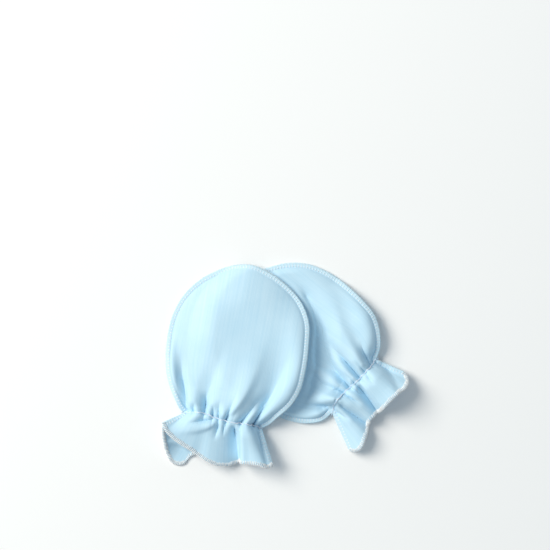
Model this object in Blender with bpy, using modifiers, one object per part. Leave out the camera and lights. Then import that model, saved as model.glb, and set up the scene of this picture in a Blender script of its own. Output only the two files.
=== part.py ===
"""A pair of newborn mittens in cotton jersey, laid flat, one of them partly over the other.

Each mitten is two panels, front and back, overlocked together round the hand and down both sides of the
cuff. A thin elastic sewn round the wrist gathers both panels, and the cloth beyond it makes the frilled cuff.
Sizes are in millimetres up to the point where a mesh is made. A mitten has its own frame: x runs across it,
y from the wrist to the fingertip, and z up from the surface that the pair lies on.
"""

import math
from collections import namedtuple

import bmesh
import bpy
import numpy as np
from mathutils import Vector
from mathutils.bvhtree import BVHTree

MM = 0.001

# Cloth and seams
CLOTH = 1.2  # thickness of the jersey
SEAM_GAP = 0.3  # air between two pieces at a seam
LAYER = CLOTH + SEAM_GAP  # from one panel's middle to the next one's
SEAM_WIDTH = 2.4  # flat overlocked edge round the hand
ELASTIC = 0.8  # diameter of the wrist elastic
ELASTIC_OFF_FLOOR = 0.2

# How the cloth stands
WRIST_LIFT = 1.3  # the wrist stands this far off the surface, so that the elastic runs under it
LIFT_REACH = {"front": 16.0, "back": 4.2}  # how far from the elastic that ends
LIFT_FADES = {"front": 14.0, "back": 2.4}
PINCH = 1.0  # how far the elastic pulls the front down
PINCH_REACH = 2.0  # and how far from the elastic that is felt
PUFF_AT_WRIST = 9.6
PUFF_OF_HAND = 6.0
PUFF_FADES = 34.0  # from the wrist to where the hand is at its own height
WRIST_ROLL = 8.0  # from the seam to full height, at the wrist
HAND_ROLL = 22.0  # and over the hand
PRESSED = 1.4  # height left inside the lower mitten where the upper one lies on it
PRESS_FADES = 12.0
FOLDS_START = 4.0  # from the upper one's edge to where the lower one's folds show in full
REST = 2 * CLOTH + SEAM_GAP + PRESSED + SEAM_GAP  # how high the upper mitten lies where it covers the lower
REST_MARGIN = 2.0
REST_FADES = 9.0  # beyond the lower one's edge, to where the upper one's back is down on the surface
REST_FADES_FRONT = 17.0  # and to where its front's middle is, which stays up longer
REST_INSIDE = 14.0  # from the seam to that middle
FOLD_LEAN = 0.3  # a fold's left wall is this much wider than its middle width, and its right wall narrower
CUFF_RISE = 0.8  # below 1, the cuff's height leaves the wrist's for the hem's early, save near its side seams
SIDE_SHARE = 0.16  # share of the width over which that begins
FOLDS_FROM = 0.2  # share of the way down the cuff where its own folds are in full
STEPS_FROM = 0.35  # and where its proud layers are

# Mesh: columns across a panel, rows over the hand, rows down the cuff
FRONT_MESH = (52, 18, 8)
BACK_MESH = (26, 12, 7)

Section = namedtuple("Section", "up left right")
Wrist = namedtuple("Wrist", "share across up")
Fold = namedtuple("Fold", "start bend end narrow wide height")
Step = namedtuple("Step", "start end soft height reach depth fades")  # one layer of the frill proud of the next
Raised = namedtuple("Raised", "start bend end reach height")  # a stretch of seam that stands up
Hem = namedtuple("Hem", "share across along up")
Mitten = namedtuple(
    "Mitten",
    "name place turn sections fingertip shoulder wrist hand_folds cuff_folds cuff_steps raised front_hem back_hem",
)

# The upper mitten, whose cuff points down and whose left corner stands up from the surface
UPPER = Mitten(
    name="upper",
    place=(-33.9, -31.0),
    turn=-10.3,
    sections=[
        Section(up=3.0, left=23.6, right=24.2),
        Section(up=8.0, left=27.2, right=28.2),
        Section(up=17.0, left=32.5, right=34.8),
        Section(up=25.0, left=35.2, right=37.7),
        Section(up=35.0, left=37.0, right=38.5),
        Section(up=49.0, left=37.2, right=37.9),
        Section(up=62.0, left=33.6, right=35.6),
        Section(up=72.0, left=26.8, right=29.2),
        Section(up=79.0, left=18.6, right=20.2),
        Section(up=83.6, left=10.4, right=10.8),
    ],
    fingertip=(0.0, 86.0),
    shoulder=7,
    wrist=[
        Wrist(share=0.0, across=-21.0, up=1.0),
        Wrist(share=0.14, across=-15.6, up=3.1),
        Wrist(share=0.3, across=-9.6, up=3.4),
        Wrist(share=0.42, across=-4.4, up=2.2),
        Wrist(share=0.5, across=-0.4, up=1.7),
        Wrist(share=0.61, across=4.8, up=1.5),
        Wrist(share=0.7, across=9.8, up=1.8),
        Wrist(share=0.83, across=15.2, up=1.8),
        Wrist(share=1.0, across=21.2, up=0.6),
    ],
    hand_folds=[
        Fold(start=(-19.6, 1.2), bend=(-23.5, 10.0), end=(-30.0, 30.0), narrow=2.2, wide=4.2, height=-4.8),
        Fold(start=(-15.8, 1.8), bend=(-16.4, 5.0), end=(-16.8, 9.0), narrow=1.3, wide=1.7, height=-1.8),
        Fold(start=(-11.2, 2.4), bend=(-12.0, 8.0), end=(-13.8, 17.0), narrow=1.5, wide=2.8, height=-3.2),
        Fold(start=(-6.2, 1.6), bend=(-6.6, 5.0), end=(-7.8, 10.0), narrow=1.4, wide=1.9, height=-2.6),
        Fold(start=(-2.3, 1.0), bend=(-2.6, 5.0), end=(-3.8, 13.0), narrow=1.4, wide=2.1, height=-2.7),
        Fold(start=(1.8, 0.8), bend=(2.4, 7.0), end=(5.6, 19.0), narrow=1.5, wide=2.8, height=-3.4),
        Fold(start=(8.0, 0.8), bend=(10.0, 6.0), end=(18.0, 21.0), narrow=1.7, wide=3.4, height=-3.8),
        Fold(start=(15.3, 0.8), bend=(17.6, 7.5), end=(25.0, 24.0), narrow=1.7, wide=3.2, height=-4.2),
        Fold(start=(20.0, 13.0), bend=(28.0, 26.0), end=(28.0, 52.0), narrow=3.8, wide=7.5, height=-4.4),
        Fold(start=(-10.0, 8.0), bend=(-11.0, 20.0), end=(-6.0, 48.0), narrow=3.8, wide=8.0, height=-3.2),
        Fold(start=(-18.2, 1.8), bend=(-20.5, 12.0), end=(-25.0, 32.0), narrow=2.0, wide=3.2, height=2.0),
        Fold(start=(1.0, 5.0), bend=(14.0, 17.0), end=(12.5, 54.0), narrow=2.8, wide=7.0, height=2.6),
    ],
    cuff_folds=[
        Fold(start=(-12.4, -0.6), bend=(-9.0, -2.4), end=(-6.6, -0.8), narrow=2.0, wide=1.6, height=-2.6),
        Fold(start=(-12.6, -0.6), bend=(-15.4, -1.8), end=(-18.0, -2.4), narrow=2.0, wide=1.6, height=-1.5),
        Fold(start=(-5.6, 0.6), bend=(-11.0, -6.4), end=(-30.0, -7.6), narrow=1.8, wide=2.8, height=1.8),
        Fold(start=(-1.2, 0.0), bend=(-1.4, -4.0), end=(-3.0, -12.0), narrow=1.4, wide=2.4, height=-2.2),
        Fold(start=(3.4, 0.0), bend=(4.4, -7.0), end=(7.4, -17.0), narrow=1.5, wide=2.6, height=-2.6),
        Fold(start=(19.0, 0.6), bend=(21.5, -7.0), end=(26.4, -17.0), narrow=1.4, wide=1.7, height=-2.4),
    ],
    cuff_steps=[
        Step(start=(9.8, 0.8), end=(13.1, -19.5), soft=0.7, height=2.2, reach=14.0, depth=2.4, fades=5.0),
    ],
    raised=[
        Raised(start=(-21.5, 2.0), bend=(-30.5, 14.0), end=(-37.5, 42.0), reach=4.0, height=4.2),
        Raised(start=(23.0, 3.0), bend=(45.0, 26.0), end=(30.0, 74.0), reach=10.0, height=5.5),
    ],
    front_hem=[
        Hem(share=0.0, across=-31.4, along=-5.5, up=12.0),
        Hem(share=0.05, across=-29.2, along=-8.7, up=12.8),
        Hem(share=0.1, across=-25.7, along=-11.6, up=12.6),
        Hem(share=0.175, across=-20.7, along=-14.3, up=11.6),
        Hem(share=0.265, across=-14.4, along=-17.0, up=10.4),
        Hem(share=0.34, across=-9.5, along=-19.5, up=9.2),
        Hem(share=0.42, across=-4.0, along=-21.8, up=7.8),
        Hem(share=0.49, across=1.5, along=-23.0, up=6.4),
        Hem(share=0.555, across=6.5, along=-22.5, up=4.4),
        Hem(share=0.62, across=11.0, along=-20.5, up=3.6),
        Hem(share=0.655, across=12.8, along=-19.4, up=5.0),
        Hem(share=0.7, across=14.0, along=-19.3, up=9.0),
        Hem(share=0.77, across=18.2, along=-18.7, up=10.4),
        Hem(share=0.83, across=22.5, along=-18.3, up=11.2),
        Hem(share=0.885, across=26.0, along=-18.8, up=9.4),
        Hem(share=0.92, across=27.8, along=-18.9, up=5.8),
        Hem(share=0.96, across=29.4, along=-18.3, up=6.8),
        Hem(share=1.0, across=30.7, along=-17.3, up=4.4),
    ],
    back_hem=[
        Hem(share=0.07, across=-29.6, along=-11.8, up=8.4),
        Hem(share=0.13, across=-27.4, along=-16.9, up=5.8),
        Hem(share=0.19, across=-25.0, along=-21.8, up=2.4),
        Hem(share=0.25, across=-22.0, along=-25.9, up=0.6),
        Hem(share=0.31, across=-18.4, along=-27.2, up=0.6),
        Hem(share=0.36, across=-15.6, along=-25.4, up=0.6),
        Hem(share=0.41, across=-13.4, along=-21.8, up=0.9),
        Hem(share=0.46, across=-10.4, along=-19.2, up=1.6),
        Hem(share=0.53, across=-6.4, along=-18.3, up=1.6),
        Hem(share=0.62, across=0.6, along=-19.5, up=0.6),
        Hem(share=0.71, across=7.6, along=-18.6, up=1.9),
        Hem(share=0.8, across=14.4, along=-17.1, up=0.6),
        Hem(share=0.88, across=20.8, along=-16.6, up=2.2),
        Hem(share=0.95, across=27.0, along=-17.5, up=1.6),
    ],
)

# The lower mitten, turned further, with its hand half under the other
LOWER = Mitten(
    name="lower",
    place=(37.6, -12.3),
    turn=51.2,
    sections=[
        Section(up=3.0, left=25.6, right=24.6),
        Section(up=8.0, left=31.2, right=30.8),
        Section(up=17.0, left=36.3, right=37.0),
        Section(up=25.0, left=38.8, right=38.9),
        Section(up=35.0, left=39.9, right=39.9),
        Section(up=49.0, left=39.2, right=39.4),
        Section(up=62.0, left=34.8, right=35.4),
        Section(up=70.0, left=28.8, right=29.5),
        Section(up=77.0, left=20.0, right=20.8),
        Section(up=82.2, left=11.0, right=11.4),
    ],
    fingertip=(0.0, 85.0),
    shoulder=7,
    wrist=[
        Wrist(share=0.0, across=-18.2, up=1.1),
        Wrist(share=0.13, across=-15.0, up=2.8),
        Wrist(share=0.27, across=-10.8, up=3.8),
        Wrist(share=0.4, across=-4.2, up=2.8),
        Wrist(share=0.52, across=3.4, up=1.7),
        Wrist(share=0.65, across=9.4, up=1.4),
        Wrist(share=0.8, across=14.6, up=0.9),
        Wrist(share=1.0, across=18.8, up=0.8),
    ],
    hand_folds=[
        Fold(start=(5.8, 0.8), bend=(8.0, 12.0), end=(11.0, 32.0), narrow=1.6, wide=4.6, height=-3.7),
        Fold(start=(14.6, 1.4), bend=(16.4, 7.0), end=(23.0, 16.0), narrow=1.6, wide=2.8, height=-3.2),
        Fold(start=(-1.8, 1.8), bend=(0.0, 32.0), end=(24.0, 58.0), narrow=1.8, wide=10.0, height=-5.6),
        Fold(start=(-6.6, 2.8), bend=(-8.0, 10.0), end=(-14.0, 25.0), narrow=1.6, wide=4.6, height=-3.4),
        Fold(start=(-14.4, 2.2), bend=(-17.5, 7.0), end=(-27.0, 21.0), narrow=1.6, wide=3.2, height=-4.0),
        Fold(start=(10.0, 0.8), bend=(10.4, 4.0), end=(11.4, 11.0), narrow=1.4, wide=2.0, height=-2.2),
        Fold(start=(1.8, 1.4), bend=(2.4, 5.0), end=(3.6, 13.0), narrow=1.4, wide=2.0, height=-2.4),
        Fold(start=(12.0, 6.0), bend=(16.0, 18.0), end=(27.0, 44.0), narrow=3.0, wide=7.0, height=2.4),
        Fold(start=(2.6, 5.0), bend=(4.6, 12.0), end=(6.0, 24.0), narrow=2.2, wide=3.0, height=1.5),
        Fold(start=(-10.6, 3.4), bend=(-12.4, 8.0), end=(-18.5, 17.0), narrow=2.0, wide=3.0, height=1.8),
    ],
    cuff_folds=[
        Fold(start=(2.0, 0.6), bend=(1.2, -6.0), end=(-1.6, -14.0), narrow=1.8, wide=1.6, height=-2.4),
        Fold(start=(-11.8, 2.6), bend=(-11.2, -6.0), end=(-10.8, -20.0), narrow=1.5, wide=2.2, height=-2.8),
        Fold(start=(-6.0, 2.6), bend=(-5.4, -3.0), end=(-4.6, -9.0), narrow=1.4, wide=1.7, height=-2.0),
        Fold(start=(9.6, 0.6), bend=(8.4, -3.0), end=(7.6, -7.0), narrow=1.3, wide=1.5, height=-1.4),
        Fold(start=(16.8, 0.0), bend=(18.0, -9.0), end=(15.0, -21.0), narrow=1.5, wide=2.8, height=-3.0),
        Fold(start=(-16.0, 1.0), bend=(-16.2, -3.0), end=(-15.0, -10.0), narrow=1.4, wide=1.9, height=-2.0),
    ],
    cuff_steps=[
        Step(start=(4.2, 0.2), end=(-2.0, -17.0), soft=0.7, height=2.0, reach=12.0, depth=2.0, fades=3.5),
        Step(start=(-12.4, 3.0), end=(-10.8, -16.5), soft=0.7, height=1.2, reach=8.0, depth=1.2, fades=2.5),
        Step(start=(13.4, -17.4), end=(18.6, -4.4), soft=0.7, height=1.6, reach=6.0, depth=1.4, fades=4.0),
    ],
    raised=[],
    front_hem=[
        Hem(share=0.0, across=-28.3, along=-19.2, up=3.8),
        Hem(share=0.04, across=-27.2, along=-21.5, up=5.4),
        Hem(share=0.085, across=-24.1, along=-22.7, up=7.6),
        Hem(share=0.17, across=-17.5, along=-21.1, up=8.2),
        Hem(share=0.27, across=-11.2, along=-18.5, up=4.2),
        Hem(share=0.34, across=-8.2, along=-17.1, up=7.6),
        Hem(share=0.42, across=-4.6, along=-17.7, up=7.8),
        Hem(share=0.5, across=-1.6, along=-18.4, up=4.4),
        Hem(share=0.57, across=1.2, along=-18.3, up=10.0),
        Hem(share=0.65, across=6.5, along=-18.4, up=12.4),
        Hem(share=0.74, across=12.0, along=-19.1, up=11.6),
        Hem(share=0.83, across=17.4, along=-20.6, up=4.8),
        Hem(share=0.9, across=20.7, along=-19.6, up=4.6),
        Hem(share=0.955, across=22.5, along=-17.6, up=6.4),
        Hem(share=1.0, across=23.0, along=-15.3, up=6.0),
    ],
    back_hem=[
        Hem(share=0.1, across=-24.5, along=-19.3, up=1.2),
        Hem(share=0.2, across=-19.0, along=-19.3, up=0.6),
        Hem(share=0.3, across=-12.6, along=-17.0, up=2.0),
        Hem(share=0.42, across=-5.6, along=-16.7, up=0.6),
        Hem(share=0.54, across=1.4, along=-17.2, up=1.8),
        Hem(share=0.66, across=8.0, along=-17.7, up=0.6),
        Hem(share=0.78, across=13.6, along=-18.0, up=1.9),
        Hem(share=0.88, across=18.0, along=-18.1, up=0.6),
        Hem(share=0.95, across=21.0, along=-17.2, up=2.4),
    ],
)

# The back's gathers are grooves in its flat underside: where each crosses the wrist, as a share of the
# wrist's half width, and how far it runs up the hand
BACK_GATHERS = [(-0.78, 11.0), (-0.5, 17.0), (-0.24, 12.0), (0.02, 20.0), (0.28, 13.0), (0.52, 18.0), (0.8, 11.0)]
GROOVE = {"narrow": 1.7, "wide": 2.6, "height": 0.6, "spread": 1.35, "into_cuff": 8.0}

OUTLINE_POINTS = 240
FOLD_POINTS = 24
ELASTIC_ASIDE = 1.9  # from the wrist's end to the elastic that passes round it
BRIDGE = 2.6  # the elastic is taut over gathers closer than this
STEEPEST = 0.4  # least upright part of a sheet's slope, where another is kept off it
SETTLE_ROUNDS = 6
SLACK = 0.12  # more than the gap, for the bend between one point and the next


def ease(t):
    """0 to 1, level at both ends."""
    t = np.clip(t, 0.0, 1.0)
    return t * t * (3.0 - 2.0 * t)


def rounded(t):
    """0 to 1, steep at first and level at the end, as cloth rolls up from a seam."""
    return 1.0 - (1.0 - np.clip(t, 0.0, 1.0)) ** 2


def curve_through(knots, values, at):
    """Smooth values at the places at, through the given values at the knots."""
    knots = np.asarray(knots, float)
    values = np.asarray(values, float)
    slopes = np.gradient(values, knots, axis=0)
    i = np.clip(np.searchsorted(knots, at, side="right") - 1, 0, len(knots) - 2)
    step = knots[i + 1] - knots[i]
    t = (at - knots[i]) / step
    if values.ndim == 2:
        t = t[:, None]
        step = step[:, None]
    t2, t3 = t * t, t * t * t
    return (
        (2 * t3 - 3 * t2 + 1) * values[i]
        + (t3 - 2 * t2 + t) * step * slopes[i]
        + (3 * t2 - 2 * t3) * values[i + 1]
        + (t3 - t2) * step * slopes[i + 1]
    )


def lengths(points):
    """How far along the line each point is."""
    steps = np.linalg.norm(np.diff(points, axis=0), axis=1)
    return np.concatenate([[0.0], np.cumsum(steps)])


def spaced(points, shares):
    """Points along a line at the given shares of its length."""
    along = lengths(points)
    places = np.asarray(shares) * along[-1]
    return np.stack([np.interp(places, along, points[:, k]) for k in (0, 1)], axis=1)


def wrist_line(mitten, shares):
    """The line of the elastic in plan, at shares of the cloth's width."""
    table = mitten.wrist
    values = [(row.across, row.up) for row in table]
    return curve_through([row.share for row in table], values, np.asarray(shares, float))


def wrist_up(mitten, x):
    """How far up the elastic runs at x."""
    line = wrist_line(mitten, np.linspace(0.0, 1.0, 60))
    return np.interp(x, line[:, 0], line[:, 1])


def hand_seam(mitten):
    """The seam round the hand from the wrist's left end to its right end, and where its shoulders are."""
    left = [(-row.left, row.up) for row in mitten.sections]
    right = [(row.right, row.up) for row in reversed(mitten.sections)]
    ends = wrist_line(mitten, [0.0, 1.0])
    corners = np.array([ends[0], *left, mitten.fingertip, *right, ends[1]])
    along = lengths(corners)
    line = curve_through(along, corners, np.linspace(0.0, along[-1], OUTLINE_POINTS))
    first = 1 + mitten.shoulder
    shoulders = [along[first] / along[-1], along[-1 - first] / along[-1]]
    return line, [int(round(s * (OUTLINE_POINTS - 1))) for s in shoulders]


def to_pair(mitten, points):
    """Points of a mitten's own frame, in the pair's frame."""
    turn = math.radians(mitten.turn)
    c, s = math.cos(turn), math.sin(turn)
    x, y = points[:, 0], points[:, 1]
    return np.stack([x * c - y * s, x * s + y * c], axis=1) + np.array(mitten.place)


def near_line(points, line):
    """How far each point is from a line in plan, its share along it, and 1 on its left to -1 on its right."""
    step = np.diff(line, axis=0)
    rel = points[:, None, :] - line[None, :-1]
    t = np.clip((rel * step).sum(2) / (step * step).sum(1), 0.0, 1.0)
    rel = rel - t[..., None] * step
    away = np.linalg.norm(rel, axis=2)
    each, nearest = np.arange(len(points)), away.argmin(1)
    far, rel, way = away[each, nearest], rel[each, nearest], step[nearest]
    left = (way[:, 0] * rel[:, 1] - way[:, 1] * rel[:, 0]) / np.linalg.norm(way, axis=1)
    return far, (nearest + t[each, nearest]) / len(step), left / np.maximum(far, 1e-6)


def bent_line(start, bend, end):
    """Points along a curve from start to end that leans towards bend."""
    t = np.linspace(0.0, 1.0, FOLD_POINTS)[:, None]
    start, bend, end = (np.array(p, float) for p in (start, bend, end))
    return (1 - t) ** 2 * start + 2 * t * (1 - t) * bend + t * t * end


def outside(points, mitten):
    """How far each point of the pair's frame is outside a mitten's hand: negative inside it."""
    line = to_pair(mitten, hand_seam(mitten)[0])
    closed = np.vstack([line, line[:1]])
    a, b = closed[:-1], closed[1:]
    x, y = points[:, :1], points[:, 1:]
    crosses = (a[:, 1] > y) != (b[:, 1] > y)
    rise = np.where(b[:, 1] == a[:, 1], 1e-9, b[:, 1] - a[:, 1])
    left_of = x < (b[:, 0] - a[:, 0]) * (y - a[:, 1]) / rise + a[:, 0]
    inside = (crosses & left_of).sum(1) % 2 == 1
    far = near_line(points, closed)[0]
    return np.where(inside, -far, far)


def fold_height(points, fold):
    """The ridge or, where height is negative, the crease that a fold makes: full at its start, gone at its end."""
    far, along, left = near_line(points, bent_line(fold.start, fold.bend, fold.end))
    upward = math.copysign(1.0, fold.end[1] - fold.start[1])
    width = (fold.narrow + (fold.wide - fold.narrow) * along) * (1.0 + FOLD_LEAN * left * upward)
    return fold.height * (1.0 - ease(along) ** 2) * np.exp(-((far / width) ** 2))


def step_height(points, step):
    """A layer of the frill that stands proud on the left of the step's line, and the dip on its right."""
    start, end = np.array(step.start), np.array(step.end)
    way = (end - start) / np.linalg.norm(end - start)
    side = ((points - start) * np.array([-way[1], way[0]])).sum(1)
    over = 0.5 + 0.5 * np.tanh(side / step.soft)
    proud = over * np.exp(-((np.maximum(side, 0.0) / step.reach) ** 2))
    sunk = (1.0 - over) * np.exp(-((np.minimum(side, 0.0) / step.fades) ** 2))
    return step.height * proud - step.depth * sunk


def raised_height(points, mitten):
    """How far both panels stand up along the raised stretches of the seam."""
    up = np.zeros(len(points))
    for row in mitten.raised:
        far, along, _ = near_line(points, bent_line(row.start, row.bend, row.end))
        up = up + row.height * np.sin(math.pi * along) * np.exp(-((far / row.reach) ** 2))
    return up


def rest_height(points, mitten, inside):
    """How high the surface under a mitten is: the upper one lies partly on the lower one. inside is 1 where a
    front bridges the step down off the lower one, and 0 where the panel follows it."""
    if mitten is LOWER:
        return np.zeros(len(points))
    far = outside(to_pair(mitten, points), LOWER)
    fades = REST_FADES + (REST_FADES_FRONT - REST_FADES) * inside
    return REST * (1.0 - ease((far - REST_MARGIN) / fades))


def pressed(points, mitten, fades):
    """1 where the other mitten lies on top and 0 beyond the distance where that fades."""
    if mitten is UPPER:
        return np.zeros(len(points))
    far = outside(to_pair(mitten, points), UPPER)
    return 1.0 - ease((far - REST_MARGIN) / fades)


def hand_puff(points, mitten, far):
    """How far the front stands off the back over the hand, without its folds, and how much the folds show, at
    points that are far from the seam."""
    up = points[:, 1] - wrist_up(mitten, points[:, 0])
    share = ease(up / PUFF_FADES)
    full = PUFF_AT_WRIST + (PUFF_OF_HAND - PUFF_AT_WRIST) * share
    roll = WRIST_ROLL + (HAND_ROLL - WRIST_ROLL) * share
    lift = full * rounded((far - SEAM_WIDTH) / roll)
    low = np.minimum(lift, PRESSED)
    lift = lift + (low - lift) * pressed(points, mitten, PRESS_FADES)
    shows = 1.0 - pressed(points, mitten, FOLDS_START)
    return lift, shows * ease((far - SEAM_WIDTH / 2) / (2 * SEAM_WIDTH))


def at_elastic(distance, pull, side):
    """How the wrist stands up over the elastic's way under it, less how far the elastic pulls it down."""
    lift = WRIST_LIFT * ease((LIFT_REACH[side] - np.abs(distance)) / LIFT_FADES[side])
    return lift - pull * np.exp(-((distance / PINCH_REACH) ** 2))


def back_folds(mitten):
    """The grooves in the back, over the hand and into the cuff."""
    half = mitten.wrist[-1].across
    rows = []
    for share, reach in BACK_GATHERS:
        x = share * half
        y = float(wrist_up(mitten, x))
        for run in (reach, -GROOVE["into_cuff"]):
            spread = 1.0 + (GROOVE["spread"] - 1.0) * abs(run) / reach
            end = (x * spread, y + run)
            bend = ((x + end[0]) / 2, y + run / 2)
            rows.append(Fold((x, y), bend, end, GROOVE["narrow"], GROOVE["wide"], GROOVE["height"]))
    return rows[0::2], rows[1::2]


def hand_plan(mitten, shares, rows):
    """Points over the hand, row by row from the wrist to the fingertip, between the seam's four sides."""
    seam, (left_end, right_start) = hand_seam(mitten)
    v = np.linspace(0.0, 1.0, rows + 1) ** 1.45
    u = np.asarray(shares)
    wrist = wrist_line(mitten, u)
    top = spaced(seam[left_end : right_start + 1], u)
    left = spaced(seam[: left_end + 1], v)
    right = spaced(seam[right_start:][::-1], v)
    uu, vv = u[None, :, None], v[:, None, None]
    sides = (1 - uu) * left[:, None] + uu * right[:, None]
    ends = (1 - vv) * wrist[None] + vv * top[None]
    twice = (
        (1 - uu) * (1 - vv) * wrist[0] + uu * (1 - vv) * wrist[-1] + (1 - uu) * vv * top[0] + uu * vv * top[-1]
    )
    return sides + ends - twice


def cuff_grid(mitten, side, hem, shares, rows, at_wrist, waves, folds, steps, pull):
    """Points of the cuff, row by row from the hem to the wrist: straight from the wrist to the hem in plan,
    with the wrist's gathers fading and the hem's waves growing."""
    wrist = wrist_line(mitten, shares)
    values = [(row.across, row.along, row.up) for row in hem]
    edge = curve_through([row.share for row in hem], values, np.asarray(shares, float))
    long = np.linalg.norm(edge[:, :2] - wrist, axis=1)
    rise = 1.0 + (CUFF_RISE - 1.0) * ease(np.minimum(shares, 1.0 - shares) / SIDE_SHARE)
    grid = []
    for s in np.linspace(1.0, 0.0, rows + 1)[:-1] ** 1.2:
        plan = wrist + (edge[:, :2] - wrist) * s
        up = at_wrist + (edge[:, 2] - at_wrist) * s**rise + waves * (1.0 - s) ** 2
        for fold in folds:
            up = up + fold_height(plan, fold) * ease(s / FOLDS_FROM)
        for step in steps:
            up = up + step_height(plan, step) * ease(s / STEPS_FROM)
        grid.append(np.column_stack([plan, np.maximum(up + at_elastic(s * long, pull, side), CLOTH / 2)]))
    return np.array(grid)


def sheet_tree(points):
    """A search tree over a sheet's surface."""
    rows, columns = points.shape[:2]
    faces = []
    for row in range(rows - 1):
        for column in range(columns - 1):
            corner = row * columns + column
            faces.append((corner, corner + 1, corner + columns + 1, corner + columns))
    return BVHTree.FromPolygons([Vector(p) for p in points.reshape(-1, 3)], faces)


def kept_off(points, below):
    """A sheet raised wherever it would come nearer than one layer to the sheet below it."""
    tree = sheet_tree(below)
    points = points.copy()
    for _ in range(SETTLE_ROUNDS):
        need = np.zeros(points.shape[:2])
        for at in np.ndindex(need.shape):
            place = Vector(points[at])
            hit = tree.ray_cast(place, Vector((0.0, 0.0, 1.0)))[0]
            if hit:
                need[at] = hit.z + LAYER - place.z
                continue
            normal, far = tree.find_nearest(place)[1::2]
            if far < LAYER - 0.01:
                need[at] = (LAYER + SLACK - far) / max(abs(normal.z), STEEPEST)
        wide = np.pad(need, 1, mode="edge")
        around = (wide[:-2, 1:-1] + wide[2:, 1:-1] + wide[1:-1, :-2] + wide[1:-1, 2:]) / 4
        points[..., 2] += np.maximum(need, 0.5 * around)
    return points


def panel_points(mitten, side, mesh):
    """The middle surface of a front or a back panel as a grid of points, from its hem to its fingertip."""
    columns, hand_rows, cuff_rows = mesh
    shares = np.linspace(0.0, 1.0, columns + 1)
    plan = hand_plan(mitten, shares, hand_rows)
    flat = plan.reshape(-1, 2)
    far = near_line(flat, hand_seam(mitten)[0])[0]
    puff, shows = hand_puff(flat, mitten, far)
    from_wrist = flat[:, 1] - wrist_up(mitten, flat[:, 0])
    if side == "front":
        hand_folds, cuff_folds, steps = mitten.hand_folds, mitten.cuff_folds, mitten.cuff_steps
        hem = mitten.front_hem
        level, pull, inside = CLOTH / 2 + LAYER + puff, PINCH * shows, ease(far / REST_INSIDE)
    else:
        hand_folds, cuff_folds = back_folds(mitten)
        steps = []
        first, last = mitten.front_hem[0], mitten.front_hem[-1]
        ends = [row._replace(up=row.up - LAYER) for row in (first, last)]
        hem = [ends[0], *mitten.back_hem, ends[1]]
        level, pull, inside = np.full(len(flat), CLOTH / 2), np.zeros(len(flat)), np.zeros(len(flat))
    waves = sum(fold_height(flat, fold) for fold in hand_folds) * shows
    level = level + rest_height(flat, mitten, inside) + raised_height(flat, mitten)
    count = columns + 1
    up = level + waves + at_elastic(from_wrist, pull, side)
    hand = np.column_stack([flat, up]).reshape(hand_rows + 1, count, 3)
    cuff = cuff_grid(
        mitten, side, hem, shares, cuff_rows, level[:count], waves[:count], cuff_folds, steps, pull[:count]
    )
    return np.concatenate([cuff, hand])


def mesh_object(name, mesh, parent, material, collection):
    """An object for a mesh, carried by its mitten's empty."""
    made = bpy.data.objects.new(name, mesh)
    made.parent = parent
    mesh.materials.append(material)
    collection.objects.link(made)
    return made


def make_panel(mitten, side, points, parent, material, collection):
    """A panel: its middle surface as an open sheet, given the cloth's thickness by Solidify."""
    rows, columns = points.shape[0] - 1, points.shape[1] - 1
    bm = bmesh.new()
    bmesh.ops.create_grid(bm, x_segments=columns, y_segments=rows, size=1.0)
    for vert in bm.verts:
        column = round((vert.co.x + 1.0) / 2.0 * columns)
        row = round((vert.co.y + 1.0) / 2.0 * rows)
        vert.co = points[row, column] * MM
    mesh = bpy.data.meshes.new(f"{mitten.name}_{side}_panel")
    bm.to_mesh(mesh)
    bm.free()
    mesh.shade_smooth()
    panel = mesh_object(mesh.name, mesh, parent, material, collection)
    wall = panel.modifiers.new("cloth", "SOLIDIFY")
    wall.thickness = CLOTH * MM
    wall.offset = 0.0


def elastic_path(mitten, front):
    """The elastic's middle line: taut over the front's gathers, round the wrist's ends and under the back."""
    row = front[FRONT_MESH[2]]
    beside = np.maximum(front[FRONT_MESH[2] - 1, :, 2], front[FRONT_MESH[2] + 1, :, 2])
    near = row[:, 2] + 0.35 * np.maximum(beside - row[:, 2], 0.0)
    x = row[:, 0]
    highest = np.array([near[np.abs(x - at) <= BRIDGE].max() for at in x])
    taut = np.array([highest[np.abs(x - at) <= BRIDGE].mean() for at in x])
    over = taut + CLOTH * 0.62 + SEAM_GAP + ELASTIC / 2
    under = np.full(len(x), ELASTIC_OFF_FLOOR + ELASTIC / 2)
    top = np.column_stack([x, row[:, 1], over])
    bottom = np.column_stack([x, row[:, 1], under])[::-4]
    wraps = []
    for column, first in ((-1, 90.0), (0, -90.0)):
        hand = front[FRONT_MESH[2] + 1, column, :2] - row[column, :2]
        cuff = front[FRONT_MESH[2] - 1, column, :2] - row[column, :2]
        away = hand / np.linalg.norm(hand) + cuff / np.linalg.norm(cuff)
        away = away / np.linalg.norm(away) * ELASTIC_ASIDE
        middle, reach = (over[column] + under[column]) / 2, (over[column] - under[column]) / 2
        for angle in np.radians(first - np.arange(1, 6) * 30.0):
            out, high = abs(math.cos(angle)), math.sin(angle)
            high = math.copysign(abs(high) ** 0.6, high)
            wraps.append([*(row[column, :2] + away * out), middle + reach * high])
    return np.vstack([top, wraps[:5], bottom, wraps[5:]])


def make_elastic(mitten, front, parent, material, collection):
    """The wrist elastic: a round thread in one closed loop."""
    path = elastic_path(mitten, front) * MM
    curve = bpy.data.curves.new(f"{mitten.name}_wrist_elastic", "CURVE")
    curve.dimensions = "3D"
    curve.bevel_depth = ELASTIC / 2 * MM
    curve.bevel_resolution = 1
    spline = curve.splines.new("POLY")
    spline.points.add(len(path) - 1)
    for point, place in zip(spline.points, path):
        point.co = (*place, 1.0)
    spline.use_cyclic_u = True
    return mesh_object(curve.name, curve, parent, material, collection)


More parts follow.
